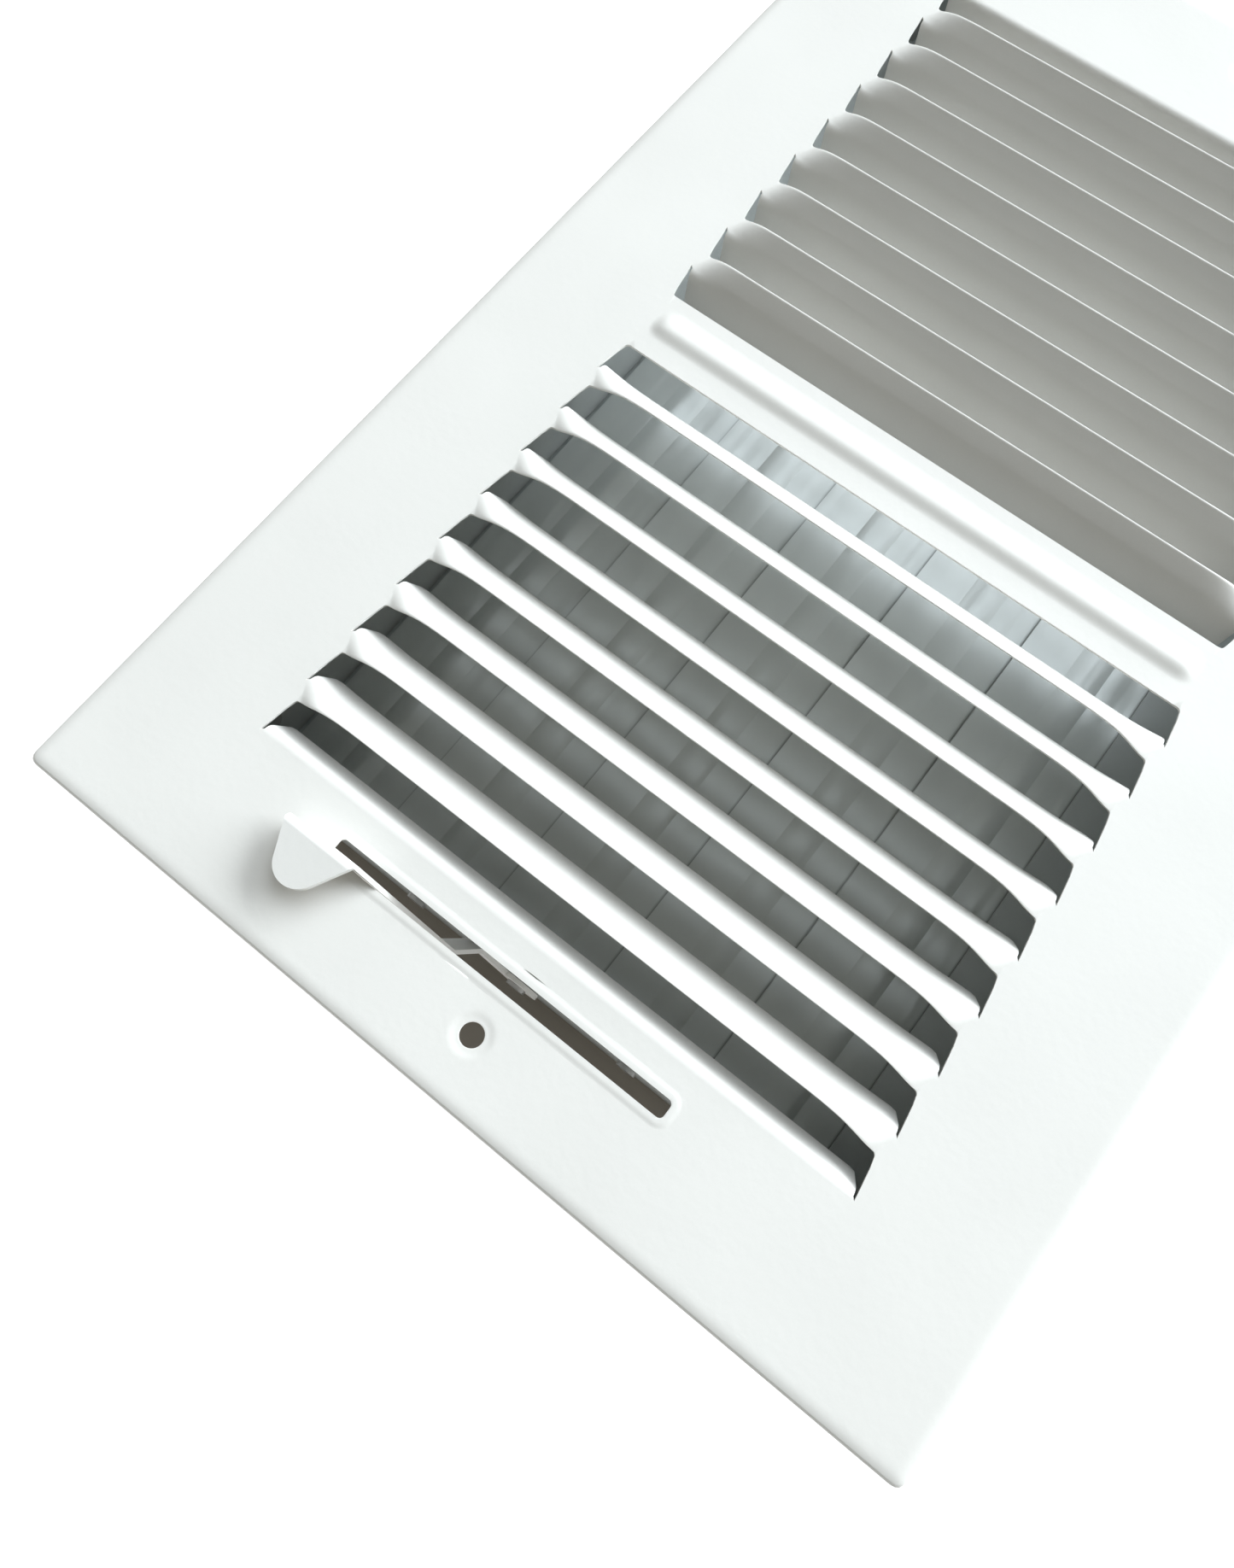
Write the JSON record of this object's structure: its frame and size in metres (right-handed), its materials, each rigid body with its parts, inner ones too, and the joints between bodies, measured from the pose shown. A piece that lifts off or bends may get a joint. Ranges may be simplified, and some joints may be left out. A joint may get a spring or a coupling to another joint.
{
  "type": "louvred air grille",
  "caption": "Rectangular stamped steel sidewall register with two-way louvres, a rolled rim and a multi-blade damper worked by a finger lever through a slot in the face.",
  "frame": {"origin": "centre of the face's flat front plane, midway between the two screw holes", "axes": "+Z out of the face into the room, +Y along the long side away from the lever end, +X along the short side; the damper is closed at rest"},
  "size_m": [0.197, 0.2992, 0.0497],
  "materials": {
    "face_enamel": "satin white powder coat",
    "frame_enamel": "satin white powder coat, thinner inside",
    "blade_enamel": "semi-gloss white coil coat",
    "lever_enamel": "satin white powder coat",
    "bare_steel": "zinc plated",
    "rivet_steel": "zinc plated"
  },
  "bodies": {
    "frame": {"face_plate": "face_enamel", "side_rail_left": "frame_enamel", "side_rail_right": "frame_enamel", "end_bracket_front": "frame_enamel", "end_bracket_rear": "frame_enamel", "stop_angle_left": "frame_enamel", "stop_angle_right": "frame_enamel", "frame_rivets": "rivet_steel"},
    "blade_3_and_lever": {"blade_3": "blade_enamel", "blade_3_pins": "rivet_steel", "crank_stud_3": "rivet_steel", "lever_arm": "lever_enamel"},
    "blade_1_body": {"blade_1": "blade_enamel", "blade_1_pins": "rivet_steel", "crank_stud_1": "rivet_steel"},
    "blade_2_body": {"blade_2": "blade_enamel", "blade_2_pins": "rivet_steel", "crank_stud_2": "rivet_steel"},
    "blade_4_body": {"blade_4": "blade_enamel", "blade_4_pins": "rivet_steel", "crank_stud_4": "rivet_steel"},
    "blade_5_body": {"blade_5": "blade_enamel", "blade_5_pins": "rivet_steel", "crank_stud_5": "rivet_steel"},
    "tie_bar_body": {"tie_bar": "bare_steel"}
  },
  "joints": [
    {"name": "damper_lever", "type": "hinge", "parent": "frame", "child": "blade_3_and_lever", "pos_m": [-0.00335, 0, -0.0276], "axis": [0, 1, 0], "range_deg": [0, 86]},
    {"name": "blade_1_pivot", "type": "hinge", "parent": "frame", "child": "blade_1_body", "pos_m": [-0.05755, 0, -0.0276], "axis": [0, 1, 0], "range_deg": [0, 86]},
    {"name": "blade_2_pivot", "type": "hinge", "parent": "frame", "child": "blade_2_body", "pos_m": [-0.03045, 0, -0.0276], "axis": [0, 1, 0], "range_deg": [0, 86]},
    {"name": "blade_4_pivot", "type": "hinge", "parent": "frame", "child": "blade_4_body", "pos_m": [0.02375, 0, -0.0276], "axis": [0, 1, 0], "range_deg": [0, 86]},
    {"name": "blade_5_pivot", "type": "hinge", "parent": "frame", "child": "blade_5_body", "pos_m": [0.05085, 0, -0.0276], "axis": [0, 1, 0], "range_deg": [0, 86]},
    {"name": "tie_bar_pivot", "type": "hinge", "parent": "blade_3_and_lever", "child": "tie_bar_body", "pos_m": [0.00323, -0.1202, -0.03374], "axis": [0, 1, 0], "range_deg": [-86, 0]}
  ],
  "couplings": [
    {"joint": "blade_1_pivot", "follows": "damper_lever", "ratio": 1},
    {"joint": "blade_2_pivot", "follows": "damper_lever", "ratio": 1},
    {"joint": "blade_4_pivot", "follows": "damper_lever", "ratio": 1},
    {"joint": "blade_5_pivot", "follows": "damper_lever", "ratio": 1},
    {"joint": "tie_bar_pivot", "follows": "damper_lever", "ratio": -1}
  ]
}
